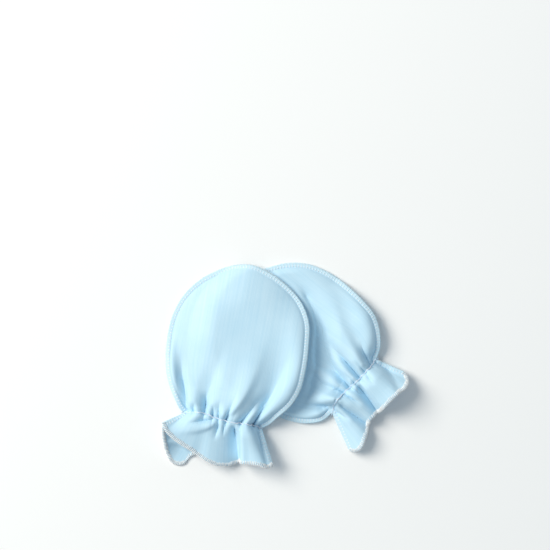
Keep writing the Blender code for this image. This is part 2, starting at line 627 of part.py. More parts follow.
def make_material(name, colour, roughness):
    """A plain surface finish."""
    material = bpy.data.materials.new(name)
    material.use_nodes = True
    shader = material.node_tree.nodes["Principled BSDF"]
    shader.inputs["Base Color"].default_value = (*colour, 1.0)
    shader.inputs["Roughness"].default_value = roughness
    shader.inputs["Metallic"].default_value = 0.0
    return material


def make_mitten(mitten, jersey, thread, collection):
    """One mitten: an empty where its wrist lies, and its panels and elastic on it."""
    place = bpy.data.objects.new(f"{mitten.name}_mitten", None)
    place.location = (mitten.place[0] * MM, mitten.place[1] * MM, 0.0)
    place.rotation_euler = (0.0, 0.0, math.radians(mitten.turn))
    collection.objects.link(place)
    back = panel_points(mitten, "back", BACK_MESH)
    front = kept_off(panel_points(mitten, "front", FRONT_MESH), back)
    make_panel(mitten, "back", back, place, jersey, collection)
    make_panel(mitten, "front", front, place, jersey, collection)
    make_elastic(mitten, front, place, thread, collection)


def main():
    for old in list(bpy.data.objects):
        bpy.data.objects.remove(old)
    collection = bpy.data.collections.new("baby_mittens")
    bpy.context.scene.collection.children.link(collection)
    jersey = make_material("blue_jersey", (0.45, 0.70, 0.84), 0.9)
    thread = make_material("white_elastic", (0.78, 0.80, 0.84), 0.7)
    for mitten in (UPPER, LOWER):
        make_mitten(mitten, jersey, thread, collection)


main()
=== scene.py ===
import math

import bmesh
import bpy
import numpy as np
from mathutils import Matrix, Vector
from mathutils.bvhtree import BVHTree


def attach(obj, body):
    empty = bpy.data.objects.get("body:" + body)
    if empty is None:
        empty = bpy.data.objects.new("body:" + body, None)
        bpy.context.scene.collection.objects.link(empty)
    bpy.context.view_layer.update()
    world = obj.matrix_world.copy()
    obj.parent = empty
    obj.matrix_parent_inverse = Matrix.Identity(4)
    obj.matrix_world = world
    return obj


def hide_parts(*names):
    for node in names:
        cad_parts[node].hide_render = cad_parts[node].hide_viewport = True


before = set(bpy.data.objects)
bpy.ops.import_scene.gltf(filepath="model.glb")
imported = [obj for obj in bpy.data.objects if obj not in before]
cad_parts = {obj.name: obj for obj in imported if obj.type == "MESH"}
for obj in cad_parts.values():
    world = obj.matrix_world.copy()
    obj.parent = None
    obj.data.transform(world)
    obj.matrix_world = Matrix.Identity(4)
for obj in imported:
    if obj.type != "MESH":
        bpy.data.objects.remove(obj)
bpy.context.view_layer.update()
mm = 0.001

# sizes are in millimetres; a mitten's own x runs across it and its y from the wrist to the fingertip

cloth = {
    "thickness": 0.9,  # interlock jersey
    "backMiddle": 0.62,  # middle of the back panel above the table
    "layer": 1.5,  # from the back's middle to the front's, inside the hand
    "seamLayer": 1.0,  # and where the two are sewn together
    "seamWidth": 2.4,  # flat overlocked edge
    "seamFades": 4.5,
    "groove": 0.2,  # how far the needle's line pulls the cloth in
    "grooveWidth": 0.55,
    "outlinePoints": 700,
    "foldPoints": 40,
    "crease": 1.35,  # 2 is a round valley, 1 a sharp one
    "wideCrease": 1.8, "wideFrom": 3.5,  # and for a valley at least this wide
    "lean": 0.32,  # a fold's left wall is that much wider than its right one
    "rimHighlightShare": 0.75, "rimHighlightInside": 0.9, "rimHighlightFades": 0.7,  # how strongly and how far in the seam band is painted paler: a painted highlight of the flat band
}

stand = {
    "wristLift": 1.3, "liftReach": {"front": 16.0, "back": 4.2}, "liftFades": {"front": 14.0, "back": 2.4},
    "pinch": 0.7, "pinchReach": 1.3,
    "puffAtWrist": 8.8, "puffOfHand": 6.0, "puffFades": 34.0,
    "wristRoll": 6.5, "handRoll": 22.0,
    # where the lower mitten has the upper one on it, and how high the upper one lies
    "pressed": 1.4, "pressMargin": 5.0, "pressFades": 13.0, "foldsStart": 4.0,
    "rest": 4.3, "restMargin": 2.0, "restFades": {"front": 17.0, "back": 9.0}, "restInside": 14.0,
    # the cuff leaves the wrist's height for the hem's early, save at its seams
    "cuffRise": 0.95, "sideShare": 0.16,
    "wavesInCuff": 10.0,  # how fast the hand's folds die out beyond the elastic
    "foldsBegin": 0.2, "swellsBegin": 0.12, "stepsBegin": 0.35,  # shares of the way down the cuff
}

meshes = {"front": (184, 120, 46), "back": (112, 72, 30)}  # columns, rows over the hand, rows down the cuff
crowding = {"hand": 1.45, "cuff": 1.2}  # above 1, rows are closer together at the wrist

# before the wrist is gathered, and how far up the hand the gathers pull the cloth in
flatCut = {
    "halfWidth": 39.5, "cuff": 21.0, "length": 110.0, "area": 0.0072, "gathersFrom": 6.0, "gathersFade": 30.0,
}

upper = {
    "name": "upper",
    "place": (-33.9, -31.0),
    "turn": -10.3,
    # up, left, right
    "sections": [
        (3.0, 23.6, 24.2), (8.0, 27.2, 28.2), (17.0, 32.5, 34.8), (25.0, 35.2, 37.7), (35.0, 37.0, 38.5),
        (49.0, 37.2, 37.9), (62.0, 33.6, 35.6), (72.0, 26.8, 29.2), (79.0, 18.6, 20.2), (83.6, 10.4, 10.8),
    ],
    "fingertip": (0.0, 86.0),
    "shoulder": 7,
    # share, across, up
    "wrist": [
        (0.0, -21.0, 1.0), (0.14, -15.6, 3.1), (0.3, -9.6, 3.4), (0.42, -4.4, 2.2), (0.5, -0.4, 1.7),
        (0.61, 4.8, 1.5), (0.7, 9.8, 1.8), (0.83, 15.2, 1.8), (1.0, 21.2, 0.6),
    ],
    # start, bend, end, narrow, wide, height
    "handFolds": [
        ((-19.8, 0.6), (-23.0, 10.0), (-29.4, 34.0), 2.3, 5.0, -8.6),
        ((-15.8, 1.8), (-16.4, 5.0), (-16.8, 9.0), 1.1, 1.5, -3.0),
        ((-10.0, 2.2), (-10.4, 8.0), (-11.6, 17.0), 1.3, 2.4, -4.6),
        ((-5.4, 1.6), (-5.6, 5.0), (-6.6, 10.0), 1.1, 1.7, -4.0),
        ((-2.3, 1.0), (-2.6, 5.0), (-3.8, 13.0), 1.1, 1.9, -4.2),
        ((1.8, 0.8), (2.4, 7.0), (5.6, 19.0), 1.3, 2.6, -5.2),
        ((9.4, 0.8), (12.0, 6.0), (20.0, 21.0), 1.5, 3.2, -5.8),
        ((16.0, 0.8), (18.6, 7.5), (26.0, 24.0), 1.4, 2.8, -6.8),
        ((20.0, 13.0), (28.0, 26.0), (28.0, 52.0), 3.6, 7.5, -4.6),
        ((-10.0, 8.0), (-11.0, 20.0), (-6.0, 48.0), 3.6, 8.0, -3.2),
        ((-18.2, 1.8), (-20.5, 12.0), (-25.0, 32.0), 1.8, 3.2, 1.3),
        ((1.0, 5.0), (14.0, 17.0), (12.5, 54.0), 2.4, 7.0, 2.8),
    ],
    "cuffFolds": [
        ((-6.4, 0.6), (-12.4, -1.2), (-19.0, -3.6), 1.7, 1.5, -3.4),
        ((-5.2, -1.6), (-10.8, -7.0), (-30.0, -9.0), 1.5, 3.6, 1.3),
        ((-1.6, 1.0), (-1.6, -4.0), (-3.0, -11.0), 1.1, 2.0, -2.6),
        ((5.6, 1.0), (9.0, -7.0), (12.0, -18.6), 1.2, 4.2, -3.0),
        ((6.8, 0.8), (7.6, -3.0), (8.8, -9.0), 0.8, 1.1, -2.2),
        ((1.2, 0.8), (1.4, -3.0), (1.8, -8.0), 0.8, 1.0, -2.0),
        ((18.4, 0.6), (21.4, -6.0), (27.4, -18.5), 0.6, 0.8, -2.4),
    ],
    # start, end, soft, height, reach, depth, fades
    "cuffSteps": [((10.1, 0.8), (13.5, -19.5), 0.2, 2.4, 22.0, 2.4, 9.0)],
    # start, bend, end, reach, height of a stretch of seam that stands off the table
    "raised": [
        ((-21.5, 2.0), (-30.5, 14.0), (-37.5, 42.0), 4.0, 5.2),
        ((23.0, 3.0), (45.0, 26.0), (30.0, 74.0), 10.0, 8.5),
    ],
    # share, across, along, up
    "frontHem": [
        (0.0, -31.4, -5.5, 12.0), (0.05, -29.2, -8.7, 12.8), (0.1, -25.7, -11.6, 12.6),
        (0.175, -20.7, -14.3, 11.6), (0.265, -14.4, -17.0, 10.4), (0.34, -9.5, -19.5, 9.2),
        (0.42, -4.0, -21.8, 9.2), (0.49, 1.5, -23.0, 8.2), (0.555, 6.5, -22.5, 6.6),
        (0.62, 11.0, -20.5, 4.8), (0.655, 12.8, -19.4, 4.6), (0.7, 14.0, -19.3, 9.6),
        (0.77, 18.2, -18.7, 11.2), (0.83, 22.5, -18.3, 12.4), (0.885, 26.0, -18.8, 12.6),
        (0.92, 27.8, -18.9, 11.6), (0.96, 29.4, -18.3, 10.8), (1.0, 30.7, -17.3, 9.2),
    ],
    "backHem": [
        (0.07, -30.6, -11.4, 8.4), (0.13, -29.0, -16.6, 5.8), (0.19, -26.8, -21.9, 2.6),
        (0.25, -23.6, -26.2, 0.9), (0.31, -19.2, -27.2, 0.6), (0.36, -16.2, -25.8, 0.6),
        (0.41, -14.0, -21.8, 0.9), (0.46, -10.4, -19.2, 1.6), (0.53, -6.4, -18.3, 1.6),
        (0.62, 0.6, -19.5, 0.6), (0.71, 7.6, -18.6, 1.9), (0.8, 14.4, -17.1, 0.6),
        (0.88, 20.8, -16.6, 2.6), (0.95, 27.0, -17.5, 4.6),
    ],
    # as for a raised stretch, but a bulge in the cuff's back
    "backSwells": [((-27.4, -15.4), (-20.5, -12.4), (-14.4, -18.6), 1.3, 2.8)],
}

lower = {
    "name": "lower",
    "place": (37.6, -12.3),
    "turn": 51.2,
    "sections": [
        (3.0, 25.6, 24.6), (8.0, 31.2, 30.8), (17.0, 36.3, 37.0), (25.0, 38.8, 38.9), (35.0, 39.9, 39.9),
        (49.0, 39.2, 39.4), (62.0, 34.8, 35.4), (70.0, 28.8, 29.5), (77.0, 20.0, 20.8), (82.2, 11.0, 11.4),
    ],
    "fingertip": (0.0, 85.0),
    "shoulder": 7,
    "wrist": [
        (0.0, -18.2, 1.1), (0.13, -15.0, 2.8), (0.27, -10.8, 3.8), (0.4, -4.2, 2.8), (0.52, 3.4, 1.7),
        (0.65, 9.4, 1.4), (0.8, 14.6, 0.9), (1.0, 18.8, 0.8),
    ],
    "handFolds": [
        ((5.8, 0.8), (8.0, 12.0), (11.0, 32.0), 1.3, 3.2, -6.6),
        ((14.6, 1.4), (16.4, 7.0), (22.0, 15.0), 1.3, 2.4, -4.0),
        ((-1.8, 1.8), (4.6, 33.2), (10.8, 42.4), 2.2, 8.0, -9.0),
        ((20.0, 51.0), (13.0, 37.0), (9.2, 20.0), 3.4, 3.6, -5.0),
        ((-6.0, 2.8), (-7.6, 12.0), (-16.5, 33.0), 1.6, 7.5, -6.5),
        ((-14.6, 2.4), (-18.2, 6.6), (-28.0, 20.6), 1.8, 4.0, -8.0),
        ((10.0, 0.8), (10.4, 4.0), (11.4, 11.0), 1.1, 1.8, -3.2),
        ((17.6, 0.8), (18.2, 3.0), (19.2, 7.0), 0.9, 1.3, -2.2),
        ((1.8, 1.4), (2.4, 5.0), (3.6, 13.0), 1.1, 1.8, -3.6),
        ((12.0, 6.0), (16.0, 18.0), (27.0, 44.0), 3.0, 7.0, 2.4),
        ((2.6, 5.0), (4.6, 12.0), (6.0, 24.0), 2.0, 3.0, 1.5),
        ((-10.6, 3.4), (-12.4, 8.0), (-18.5, 17.0), 1.8, 3.0, 1.8),
    ],
    "cuffFolds": [
        ((2.0, 0.6), (1.2, -6.0), (-1.6, -14.0), 1.6, 1.4, -3.4),
        ((-1.2, 1.2), (-0.9, -4.0), (-0.4, -10.5), 0.8, 0.9, -1.8),
        ((-11.8, 2.6), (-11.2, -6.0), (-10.8, -20.0), 1.3, 2.2, -3.6),
        ((-6.0, 2.6), (-5.4, -3.0), (-4.6, -9.0), 1.1, 1.5, -2.6),
        ((9.6, 0.6), (8.4, -3.0), (7.6, -7.0), 1.0, 1.3, -1.8),
        ((18.4, 0.0), (18.6, -9.0), (15.4, -20.0), 1.6, 3.0, -2.6),
        ((-16.0, 1.0), (-16.2, -3.0), (-15.0, -10.0), 1.1, 1.7, -2.6),
    ],
    "cuffSteps": [
        ((4.2, 0.2), (-2.0, -17.0), 0.3, 2.0, 12.0, 2.4, 3.5),
        ((-12.4, 3.0), (-10.8, -16.5), 0.35, 1.2, 8.0, 1.6, 2.5),
        ((12.9, -17.4), (18.0, -4.4), 1.4, 0.6, 10.0, 1.4, 6.0),
    ],
    "raised": [((19.0, -3.0), (35.0, 9.0), (41.0, 44.0), 7.0, 5.5)],
    "frontHem": [
        (0.0, -28.3, -19.2, 3.8), (0.04, -27.2, -21.5, 5.4), (0.085, -24.1, -22.7, 7.6),
        (0.17, -17.5, -21.1, 8.2), (0.27, -11.2, -18.5, 4.2), (0.34, -8.2, -17.1, 7.6),
        (0.42, -4.6, -17.7, 7.8), (0.5, -1.6, -18.4, 4.4), (0.57, 1.2, -18.3, 10.6),
        (0.65, 6.5, -18.4, 14.0), (0.74, 12.0, -19.1, 15.2), (0.83, 17.4, -20.6, 12.4),
        (0.9, 20.7, -19.6, 7.8), (0.955, 22.5, -17.6, 5.4), (1.0, 23.0, -15.3, 4.4),
    ],
    "backHem": [
        (0.1, -24.5, -19.3, 1.2), (0.2, -19.0, -19.3, 0.6), (0.3, -12.6, -17.0, 2.0),
        (0.42, -5.6, -16.7, 0.6), (0.54, 1.4, -17.2, 1.8), (0.66, 8.0, -17.7, 0.6),
        (0.78, 13.6, -18.0, 1.9), (0.88, 18.0, -18.1, 0.6), (0.95, 21.0, -17.2, 2.4),
    ],
    "backSwells": [],
}

# small pleats that the elastic draws in between the large folds; the back's bulge up instead
pleats = {
    "count": 17, "deep": 0.32, "shallowest": 0.5, "narrow": 0.7, "wide": 1.3,
    "shortest": 5.0, "longest": 13.0, "spread": 1.35, "aside": 0.3, "lean": 0.7, "bow": 0.3,
    "seed": {"front": 30, "back": 50}, "height": {"front": 1.0, "back": -0.45},
}

# share of the wrist's half width, how far up the hand
backGathers = {
    "places": [
        (-0.78, 11.0), (-0.5, 17.0), (-0.24, 12.0), (0.02, 20.0), (0.28, 13.0), (0.52, 18.0), (0.8, 11.0),
    ],
    "inCuff": -8.0, "spread": 0.35, "narrow": 1.5, "wide": 2.6, "deep": 0.6,
}


def ease(t):  # 0 to 1, level at both ends
    t = np.clip(t, 0.0, 1.0)
    return t * t * (3.0 - 2.0 * t)


def rounded(t):  # 0 to 1, as cloth rolls up from a seam
    return 1.0 - (1.0 - np.clip(t, 0.0, 1.0)) ** 2


def curveThrough(knots, values, at):  # smooth values between those at the knots
    knots, values = np.asarray(knots, float), np.asarray(values, float)
    slopes = np.gradient(values, knots, axis=0)
    i = np.clip(np.searchsorted(knots, at, side="right") - 1, 0, len(knots) - 2)
    step = knots[i + 1] - knots[i]
    t = (at - knots[i]) / step
    if values.ndim == 2:
        t, step = t[:, None], step[:, None]
    t2, t3 = t * t, t * t * t
    return (
        (2 * t3 - 3 * t2 + 1) * values[i] + (t3 - 2 * t2 + t) * step * slopes[i]
        + (3 * t2 - 2 * t3) * values[i + 1] + (t3 - t2) * step * slopes[i + 1]
    )


def lengthsOf(line):  # how far along the line each point is
    return np.concatenate([[0.0], np.cumsum(np.linalg.norm(np.diff(line, axis=0), axis=1))])


def spaced(line, shares):  # points at shares of the line's length
    along = lengthsOf(line)
    places = np.asarray(shares) * along[-1]
    return np.stack([np.interp(places, along, line[:, k]) for k in range(line.shape[1])], 1)


def unit(rows):
    return rows / np.linalg.norm(rows, axis=1)[:, None]


def nearLine(points, line, batch=3000):  # distance in plan, share along, and 1 on its left to -1 on its right
    a, d = line[:-1], np.diff(line, axis=0)
    square = (d * d).sum(1)
    far, share, left = (np.zeros(len(points)) for k in range(3))
    for first in range(0, len(points), batch):
        these = slice(first, first + batch)
        rel = points[these, None, :] - a[None]
        t = np.clip((rel * d).sum(2) / square, 0.0, 1.0)
        away = np.linalg.norm(rel - t[..., None] * d, axis=2)
        best = away.argmin(1)
        row = np.arange(len(best))
        far[these] = away[row, best]
        share[these] = (best + t[row, best]) / len(a)
        aside = (d[best, 0] * rel[row, best, 1] - d[best, 1] * rel[row, best, 0]) / np.sqrt(square[best])
        left[these] = aside / np.maximum(away[row, best], 1e-6)
    return far, share, left


def wristLine(mitten, shares):
    table = np.array(mitten["wrist"])
    return curveThrough(table[:, 0], table[:, 1:], np.asarray(shares, float))


def wristUp(mitten, x):
    line = wristLine(mitten, np.linspace(0.0, 1.0, 90))
    return np.interp(x, line[:, 0], line[:, 1])


def handSeam(mitten):  # from the wrist's left end round the hand to its right end, and the two shoulders
    left = [(-l, up) for up, l, r in mitten["sections"]]
    right = [(r, up) for up, l, r in reversed(mitten["sections"])]
    ends = wristLine(mitten, [0.0, 1.0])
    corners = np.array([ends[0], *left, mitten["fingertip"], *right, ends[1]])
    along = lengthsOf(corners)
    line = curveThrough(along, corners, np.linspace(0.0, along[-1], cloth["outlinePoints"]))
    first = 1 + mitten["shoulder"]
    shoulders = [along[first] / along[-1], along[-1 - first] / along[-1]]
    return line, [int(round(s * (cloth["outlinePoints"] - 1))) for s in shoulders]


def toPair(mitten, points):  # from a mitten's own frame to the pair's
    turn = math.radians(mitten["turn"])
    c, s = math.cos(turn), math.sin(turn)
    moved = np.array(points, float)
    x, y = moved[..., 0].copy(), moved[..., 1].copy()
    moved[..., 0] = x * c - y * s + mitten["place"][0]
    moved[..., 1] = x * s + y * c + mitten["place"][1]
    return moved


def outside(points, mitten):  # how far outside a mitten's hand, negative inside
    line = toPair(mitten, handSeam(mitten)[0][::4])
    closed = np.vstack([line, line[:1]])
    a, b = closed[:-1], closed[1:]
    x, y = points[:, :1], points[:, 1:2]
    crosses = (a[:, 1] > y) != (b[:, 1] > y)
    rise = np.where(b[:, 1] == a[:, 1], 1e-9, b[:, 1] - a[:, 1])
    inside = (crosses & (x < (b[:, 0] - a[:, 0]) * (y - a[:, 1]) / rise + a[:, 0])).sum(1) % 2 == 1
    far = nearLine(points, closed)[0]
    return np.where(inside, -far, far)


def bentLine(start, bend, end):
    t = np.linspace(0.0, 1.0, cloth["foldPoints"])[:, None]
    return (1 - t) ** 2 * np.array(start) + 2 * t * (1 - t) * np.array(bend) + t * t * np.array(end)


def foldHeight(points, fold):  # a crease or a ridge, full at its start and gone at its end
    start, bend, end, narrow, wide, height = fold
    far, along, left = nearLine(points, bentLine(start, bend, end))
    upward = math.copysign(1.0, end[1] - start[1])
    width = (narrow + (wide - narrow) * along) * (1.0 + cloth["lean"] * left * upward)
    valley = np.where(width < cloth["wideFrom"], cloth["crease"], cloth["wideCrease"])
    sharp = valley if height < 0 else 2.0
    return height * (1.0 - ease(along) ** 2.0) * np.exp(-((far / width) ** sharp))


def swellHeight(points, swell):  # highest, or deepest, halfway along its line and gone at both ends
    start, bend, end, reach, height = swell
    far, along, left = nearLine(points, bentLine(start, bend, end))
    return height * np.sin(math.pi * along) * np.exp(-((far / reach) ** 2))


def stepHeight(points, step, s):  # a layer of the frill that lies over the next, on the line's left
    start, end, soft, height, reach, depth, fades = step
    start, way = np.array(start), np.array(end) - np.array(start)
    way = way / np.linalg.norm(way)
    rel = points - start
    side = (rel * np.array([-way[1], way[0]])).sum(1)
    over = 0.5 + 0.5 * np.tanh(side / soft)
    proud = over * np.exp(-((np.maximum(side, 0.0) / reach) ** 2))
    sunk = (1.0 - over) * np.exp(-((np.minimum(side, 0.0) / fades) ** 2))
    return (height * proud - depth * sunk) * ease(s / stand["stepsBegin"])


def restHeight(points, mitten, inside):  # inside is 1 where a front bridges the step off the lower mitten
    if mitten is lower:
        return np.zeros(len(points))
    far = outside(toPair(mitten, points), lower)
    fades = stand["restFades"]["back"] + (stand["restFades"]["front"] - stand["restFades"]["back"]) * inside
    return stand["rest"] * (1.0 - ease((far - stand["restMargin"]) / fades))


def pressedShare(points, mitten, margin, fades):
    if mitten is upper:
        return np.zeros(len(points))
    far = outside(toPair(mitten, points), upper)
    return 1.0 - ease((far - margin) / fades)


def handPuff(points, mitten, far):
    up = points[:, 1] - wristUp(mitten, points[:, 0])
    share = ease(up / stand["puffFades"])
    full = stand["puffAtWrist"] + (stand["puffOfHand"] - stand["puffAtWrist"]) * share
    roll = stand["wristRoll"] + (stand["handRoll"] - stand["wristRoll"]) * share
    lift = full * rounded((far - cloth["seamWidth"]) / roll)
    low = np.minimum(lift, stand["pressed"])
    lift = lift + (low - lift) * pressedShare(points, mitten, stand["pressMargin"], stand["pressFades"])
    folds = 1.0 - pressedShare(points, mitten, stand["restMargin"], stand["foldsStart"])
    return lift, folds * ease((far - cloth["seamWidth"] / 2) / (2 * cloth["seamWidth"]))


def atElastic(distance, pull, side):
    lift = stand["wristLift"] * ease((stand["liftReach"][side] - np.abs(distance)) / stand["liftFades"][side])
    return lift - pull * np.exp(-((distance / stand["pinchReach"]) ** 2))


def smallPleats(mitten, side):  # uneven, and the same each time
    rng = np.random.default_rng(len(mitten["handFolds"]) + pleats["seed"][side])
    n = pleats["count"]
    rows = []
    for i in range(n):
        aside = rng.uniform(-pleats["aside"], pleats["aside"])
        x, y = wristLine(mitten, [(i + 0.5 + aside) / n])[0]
        run = rng.uniform(pleats["shortest"], pleats["longest"])
        lean = rng.uniform(-pleats["lean"], pleats["lean"])
        end = (x * pleats["spread"] + lean, y + run)
        bend = ((x + end[0]) / 2 - pleats["bow"] * lean, y + run / 2)
        deep = pleats["deep"] * rng.uniform(pleats["shallowest"], 1.0)
        rows.append(((x, y), bend, end, pleats["narrow"], pleats["wide"], -deep))
    return rows


def backFolds(mitten):  # grooves in the flat underside
    half = mitten["wrist"][-1][1]
    size = [backGathers[key] for key in ("narrow", "wide", "deep")]
    hand, cuff = [], []
    for share, reach in backGathers["places"]:
        x = share * half
        y = float(wristUp(mitten, x))
        for run, rows in ((reach, hand), (backGathers["inCuff"], cuff)):
            end = (x * (1.0 + backGathers["spread"] * abs(run) / reach), y + run)
            rows.append(((x, y), ((x + end[0]) / 2, y + run / 2), end, *size))
    return hand, cuff


def handPlan(mitten, shares, rows):  # the hand's places in plan, spread between its four sides
    seam, (leftEnd, rightStart) = handSeam(mitten)
    v = np.linspace(0.0, 1.0, rows + 1) ** crowding["hand"]
    wrist = wristLine(mitten, shares)
    top = spaced(seam[leftEnd:rightStart + 1], shares)
    left, right = spaced(seam[:leftEnd + 1], v), spaced(seam[rightStart:][::-1], v)
    uu, vv = shares[None, :, None], v[:, None, None]
    sides = (1 - uu) * left[:, None] + uu * right[:, None]
    ends = (1 - vv) * wrist[None] + vv * top[None]
    corners = (
        (1 - uu) * (1 - vv) * wrist[0] + uu * (1 - vv) * wrist[-1]
        + (1 - uu) * vv * top[0] + uu * vv * top[-1]
    )
    return sides + ends - corners


def cuffShares(side):  # of the way from the wrist to the hem, the hem first
    return np.linspace(1.0, 0.0, meshes[side][2] + 1)[:-1] ** crowding["cuff"]


def cuffGrid(mitten, side, hem, shares, atWrist, waves, folds, steps, swells, pull):
    wrist = wristLine(mitten, shares)
    table = np.array(hem)
    edge = curveThrough(table[:, 0], table[:, 1:], shares)
    long = np.linalg.norm(edge[:, :2] - wrist, axis=1)
    rise = 1.0 + (stand["cuffRise"] - 1.0) * ease(np.minimum(shares, 1.0 - shares) / stand["sideShare"])
    grid, far = [], []
    for s in cuffShares(side):
        plan = wrist + (edge[:, :2] - wrist) * s
        up = atWrist + (edge[:, 2] - atWrist) * s ** rise + waves * (1.0 - s) ** stand["wavesInCuff"]
        for fold in folds:
            up = up + foldHeight(plan, fold) * ease(s / stand["foldsBegin"])
        for step in steps:
            up = up + stepHeight(plan, step, s)
        for swell in swells:
            up = up + swellHeight(plan, swell) * ease(s / stand["swellsBegin"])
        up = np.maximum(up + atElastic(s * long, pull, side), cloth["backMiddle"])
        grid.append(np.column_stack([plan, up]))
        far.append(np.minimum(*(np.linalg.norm(plan - end, axis=1) for end in (plan[0], plan[-1]))))
    return np.array(grid), np.array(far)


def sheetTree(points):
    rows, columns = points.shape[:2]
    corner = (np.arange(rows - 1)[:, None] * columns + np.arange(columns - 1)[None]).ravel()
    faces = np.stack([corner, corner + 1, corner + columns + 1, corner + columns], 1)
    return BVHTree.FromPolygons([Vector(p) for p in points.reshape(-1, 3)], faces.tolist())


# how a sheet is moved off the one below it
apart = {"turns": 6, "near": 0.01, "spare": 0.03, "steepest": 0.4, "around": 0.5}


def keptOff(points, below, layer):  # raised wherever it comes nearer than one layer to the sheet below
    tree = sheetTree(below)
    points = points.copy()
    for turn in range(apart["turns"]):
        need = np.zeros(points.shape[:2])
        for at in np.ndindex(need.shape):
            place = Vector(points[at])
            hit = tree.ray_cast(place, Vector((0.0, 0.0, 1.0)))[0]
            if hit:
                need[at] = hit.z + layer - place.z
                continue
            where, normal, index, far = tree.find_nearest(place)
            if far < layer - apart["near"]:
                need[at] = (layer + apart["spare"] - far) / max(abs(normal.z), apart["steepest"])
        wide = np.pad(need, 1, mode="edge")
        around = (wide[:-2, 1:-1] + wide[2:, 1:-1] + wide[1:-1, :-2] + wide[1:-1, 2:]) / 4
        points[..., 2] += np.maximum(need, apart["around"] * around)
    return points


def panelPoints(mitten, side):  # middle surface from hem to fingertip, its flat cut, its way to the seam
    columns, handRows, cuffRows = meshes[side]
    shares = np.linspace(0.0, 1.0, columns + 1)
    plan = handPlan(mitten, shares, handRows)
    flat = plan.reshape(-1, 2)
    far = nearLine(flat, handSeam(mitten)[0][::2])[0]
    puff, shows = handPuff(flat, mitten, far)
    fromWrist = flat[:, 1] - wristUp(mitten, flat[:, 0])
    sewn = 1.0 - ease(far / cloth["seamFades"])
    groove = cloth["groove"] * np.exp(-(((far - cloth["seamWidth"]) / cloth["grooveWidth"]) ** 2))
    if side == "front":
        handFolds, cuffFolds, hem = mitten["handFolds"], mitten["cuffFolds"], mitten["frontHem"]
        level = cloth["backMiddle"] + cloth["layer"] + (cloth["seamLayer"] - cloth["layer"]) * sewn
        level = level + puff - groove
        pull = stand["pinch"] * shows
        steps, swells = mitten["cuffSteps"], []
        inside = ease(far / stand["restInside"])
    else:
        handFolds, cuffFolds = backFolds(mitten)
        steps, swells = [], mitten["backSwells"]
        first, last = mitten["frontHem"][0], mitten["frontHem"][-1]
        ends = [(*row[:3], row[3] - cloth["layer"]) for row in (first, last)]
        hem = [ends[0], *mitten["backHem"], ends[1]]
        level, pull = np.full(len(flat), cloth["backMiddle"]), np.zeros(len(flat))
        inside = np.zeros(len(flat))
    waves = sum(foldHeight(flat, fold) for fold in handFolds) * shows
    small = sum(foldHeight(flat, fold) for fold in smallPleats(mitten, side))
    waves = waves + small * shows * pleats["height"][side]
    level = level + restHeight(flat, mitten, inside)
    level = level + sum(swellHeight(flat, swell) for swell in mitten["raised"])
    count = columns + 1
    hand = np.column_stack([flat, level + waves + atElastic(fromWrist, pull, side)])
    hand = hand.reshape(handRows + 1, count, 3)
    cuff, cuffFar = cuffGrid(
        mitten, side, hem, shares, level[:count], waves[:count], cuffFolds, steps, swells, pull[:count]
    )
    gathered = 1.0 - ease((flat[:, 1] - flatCut["gathersFrom"]) / flatCut["gathersFade"])
    across = np.tile((shares - 0.5) * 2.0 * flatCut["halfWidth"], handRows + 1)
    handFlat = np.column_stack([flat[:, 0] + (across - flat[:, 0]) * gathered, flat[:, 1]])
    down = -cuffShares(side) * flatCut["cuff"]
    cuffFlat = np.column_stack([np.tile(across[:count], cuffRows), np.repeat(down, count)])
    pairs = ((cuff, hand), (cuffFlat, handFlat), (cuffFar.ravel(), far))
    return tuple(np.concatenate(pair) for pair in pairs)


def link(tree, source, target):
    tree.links.new(source, target)


def addNode(tree, kind, place, **values):
    node = tree.nodes.new(kind)
    node.location = place
    for key, value in values.items():
        setattr(node, key, value)
    return node


def addMath(tree, operation, a, b=None, c=None, place=(0, 0), clamp=False):
    node = addNode(tree, "ShaderNodeMath", place, operation=operation, use_clamp=clamp)
    for socket, value in zip(node.inputs, (a, b, c)):
        if isinstance(value, (int, float)):
            socket.default_value = value
        elif value is not None:
            link(tree, value, socket)
    return node.outputs[0]


def addNoise(tree, source, scale, detail, place):
    node = addNode(tree, "ShaderNodeTexNoise", place)
    node.inputs["Scale"].default_value = scale
    node.inputs["Detail"].default_value = detail
    link(tree, source, node.inputs["Vector"])
    return node.outputs["Fac"]


def addMix(tree, factor, place):
    node = addNode(tree, "ShaderNodeMix", place, data_type="RGBA")
    link(tree, factor, node.inputs["Factor"])
    return node


def newMaterial(name, sockets):
    made = bpy.data.materials.new(name)
    made.use_nodes = True
    shader = made.node_tree.nodes["Principled BSDF"]
    for socket, value in sockets.items():
        shader.inputs[socket].default_value = value
    return made, made.node_tree, shader


def roughBetween(tree, source, shader, reach, place):
    dull = addNode(tree, "ShaderNodeMapRange", place)
    dull.inputs["To Min"].default_value, dull.inputs["To Max"].default_value = reach
    link(tree, source, dull.inputs["Value"])
    link(tree, dull.outputs["Result"], shader.inputs["Roughness"])


def bumpFrom(tree, source, shader, strength, distance, place):
    bump = addNode(tree, "ShaderNodeBump", place)
    bump.inputs["Strength"].default_value = strength
    bump.inputs["Distance"].default_value = distance * mm
    link(tree, source, bump.inputs["Height"])
    link(tree, bump.outputs["Normal"], shader.inputs["Normal"])


knit = {
    "cut": 100.0,  # what the UV map spans
    "wale": 0.72, "course": 0.62, "slant": 0.25, "round": 0.6, "loops": 0.15,
    "streakWidth": 1.1, "streakLength": 2.2, "fibres": 420.0,
}


